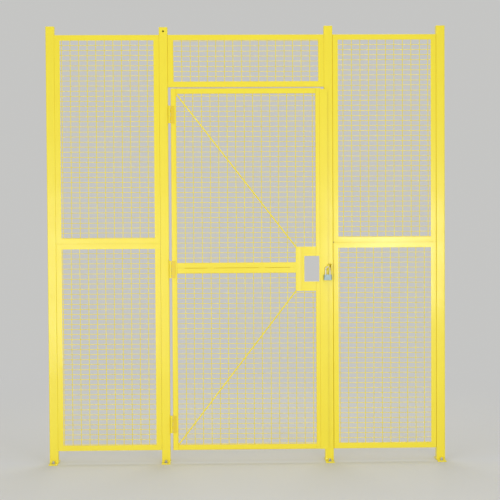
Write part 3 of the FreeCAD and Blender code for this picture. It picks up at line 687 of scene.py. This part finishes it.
low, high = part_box("padlock_body")
middle = (low + high) / 2
lamina_height = (high.z - low.z) / LAMINAS
case = bmesh.new()
for number in range(LAMINAS):
    inset = LAMINA_INSET if number % 2 else 0.0
    size = Vector((high.x - low.x - 2 * inset, high.y - low.y - 2 * inset, lamina_height - LAMINA_GAP))
    lamina = block(Vector((middle.x, middle.y, low.z + lamina_height * (number + 0.5))), size)
    upright = [e for e in lamina.edges if abs(e.verts[0].co.z - e.verts[1].co.z) > lamina_height / 2]
    eased(lamina, upright, CASE_ROUND - inset, CASE_ROUND_STEPS)
    lamina.normal_update()
    rims = [e for e in lamina.edges if any(abs(f.normal.z) > LEVEL_FACE for f in e.link_faces)]
    eased(lamina, rims, LAMINA_RIM)
    join(case, lamina)
for x in (middle.x - RIVET_X, middle.x + RIVET_X):
    for y in (middle.y - RIVET_Y, middle.y + RIVET_Y):
        spot = Matrix.Translation((x, y, low.z + RIVET_SINK)) @ Matrix.Diagonal((1, 1, RIVET_FLATTENING, 1))
        bmesh.ops.create_uvsphere(case, u_segments=RIVET_SIDES, v_segments=RIVET_RINGS, radius=RIVET,
                                  matrix=spot)
plug_seat = Vector((middle.x, middle.y, low.z + PLUG_SINK))
disc(case, plug_seat, SIDES["bottom"], PLUG_RADIUS, PLUG_SINK + PLUG_RISE, PLUG_SIDES, PLUG_RIM)
case_steel = brushed_steel("laminated steel", STEEL, CASE_BRUSHING)
piece("padlock_case", case, case_steel, "padlock", ["padlock_body"])

# The keyway is a thin dark plate on the plug's face: painted shade for the slot.
keyway = block(Vector((middle.x, middle.y, low.z - PLUG_RISE)), KEYWAY_SIZE)
eased(keyway, keyway.edges[:], KEYWAY_EDGE, segments=1)
keyway_shade = brushed_steel("keyway shade", DARK_MARKS_AND_KEYWAY_SHADE, KEYWAY_BRUSHING)
piece("padlock_keyway", keyway, keyway_shade, "padlock")

low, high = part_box("padlock_shackle")
rod_radius = (high.y - low.y) / 2
bend_radius = (high.x - low.x) / 2 - rod_radius
bend_centre = Vector(((low.x + high.x) / 2, (low.y + high.y) / 2, high.z - rod_radius - bend_radius))
shackle = bmesh.new()
toe = Matrix.Translation((bend_centre.x + bend_radius, bend_centre.y, low.z))
bmesh.ops.create_circle(shackle, cap_ends=True, segments=ROD_SIDES, radius=rod_radius, matrix=toe)
toe_leg = bmesh.ops.extrude_edge_only(shackle, edges=shackle.edges[:])["geom"]
ring = [g for g in toe_leg if isinstance(g, BMVert)]
bmesh.ops.translate(shackle, verts=ring, vec=(0, 0, bend_centre.z - low.z))
ring = [g for g in toe_leg if not isinstance(g, BMFace)]
bend = bmesh.ops.spin(shackle, geom=ring, cent=bend_centre, axis=(0, -1, 0), angle=math.pi, steps=BEND_STEPS)
ring = [g for g in bend["geom_last"] if isinstance(g, BMEdge)]
heel_leg = bmesh.ops.extrude_edge_only(shackle, edges=ring)["geom"]
ring = [g for g in heel_leg if isinstance(g, BMVert)]
bmesh.ops.translate(shackle, verts=ring, vec=(0, 0, low.z - bend_centre.z))
bmesh.ops.contextual_create(shackle, geom=[g for g in heel_leg if isinstance(g, BMEdge)])
bmesh.ops.remove_doubles(shackle, verts=shackle.verts, dist=SAME_POINT)
shackle_steel = brushed_steel("shackle steel", SHACKLE_STEEL, SHACKLE_BRUSHING)
piece("padlock_shackle_bar", shackle, shackle_steel, "padlock", ["padlock_shackle"])

# Stage: a plain pale floor that runs out into a surround of the same tone, broad soft light from
# the front and above, and the camera at the height and angle of the picture.
FLOOR_PALE = (0.74, 0.74, 0.73, 1)
SURROUND_PALE = (0.56, 0.56, 0.55, 1)
FLOOR_ROUGHNESS, FLOOR_SHINE = 0.8, 0.2
FLOOR_REACH, FLOOR_DROP = 30.0, 0.0005
FLOOR_FADE = (1.8, 4.5)
STAGE_CENTRE = Vector((0.48, 0, 0))
# Each lamp's name, place, size and watts.
LAMPS = [("right", (1.90, -4.6, 1.10), 1.0, 40.0), ("left", (-1.4, -4.8, 0.4), 2.5, 86.0),
         ("above", (0.5, -1.2, 4.6), 3.0, 18.0), ("behind", (0.8, 4.0, 5.6), 3.0, 75.0)]
LAMP_AIM = STAGE_CENTRE + Vector((0, 0, 1.25))
CAMERA_PLACE = Vector((0.323, -7.956, 1.505))
CAMERA_PITCH, CAMERA_YAW, CAMERA_ROLL = math.radians(1.813), math.radians(-1.285), math.radians(-0.333)
PICTURE_SIDE, FOCAL_PIXELS, SENSOR = 500, 1350, 36.0
VIEW_REACH = 100

floor_grid = bmesh.new()
below = Matrix.Translation(STAGE_CENTRE - Vector((0, 0, FLOOR_DROP)))
bmesh.ops.create_grid(floor_grid, x_segments=1, y_segments=1, size=FLOOR_REACH, matrix=below)
floor_mesh = bpy.data.meshes.new("floor")
floor_grid.to_mesh(floor_mesh)
floor_grid.free()
floor_paint, inputs, place = new_material("pale floor")
inputs["Base Color"].default_value = FLOOR_PALE
inputs["Roughness"].default_value = FLOOR_ROUGHNESS
inputs["Specular IOR Level"].default_value = FLOOR_SHINE
floor_nodes = floor_paint.node_tree.nodes
matt = Shade(place.tree, floor_nodes["Principled BSDF"].outputs[0])
pale = place.node("ShaderNodeEmission", {}, {"Color": SURROUND_PALE})
fade = place.distance(STAGE_CENTRE).between(*FLOOR_FADE)
mixed = place.node("ShaderNodeMixShader", {}, {0: fade, 1: matt, 2: pale})
place.feed(floor_nodes["Material Output"].inputs["Surface"], mixed)
floor_mesh.materials.append(floor_paint)
floor = bpy.data.objects.new("floor", floor_mesh)
bpy.context.scene.collection.objects.link(floor)

world = bpy.data.worlds.new("surround")
bpy.context.scene.world = world
world.use_nodes = True
world.node_tree.nodes["Background"].inputs["Color"].default_value = SURROUND_PALE

for name, spot, size, watts in LAMPS:
    lamp = bpy.data.lights.new(name, "AREA")
    lamp.size, lamp.energy = size, watts
    obj = bpy.data.objects.new(name, lamp)
    turn = (LAMP_AIM - Vector(spot)).to_track_quat("-Z", "Y").to_matrix().to_4x4()
    obj.matrix_world = Matrix.Translation(spot) @ turn
    bpy.context.scene.collection.objects.link(obj)

camera = bpy.data.cameras.new("camera")
camera.sensor_width = SENSOR
camera.lens = FOCAL_PIXELS / PICTURE_SIDE * SENSOR
camera.clip_end = VIEW_REACH
eye = bpy.data.objects.new("camera", camera)
level = Matrix.Rotation(math.pi / 2, 4, "X")
eye.matrix_world = (Matrix.Translation(CAMERA_PLACE) @ level @ Matrix.Rotation(CAMERA_YAW, 4, "Y")
                    @ Matrix.Rotation(-CAMERA_PITCH, 4, "X") @ Matrix.Rotation(CAMERA_ROLL, 4, "Z"))
bpy.context.scene.collection.objects.link(eye)
bpy.context.scene.camera = eye
bpy.context.scene.view_settings.view_transform = "Standard"
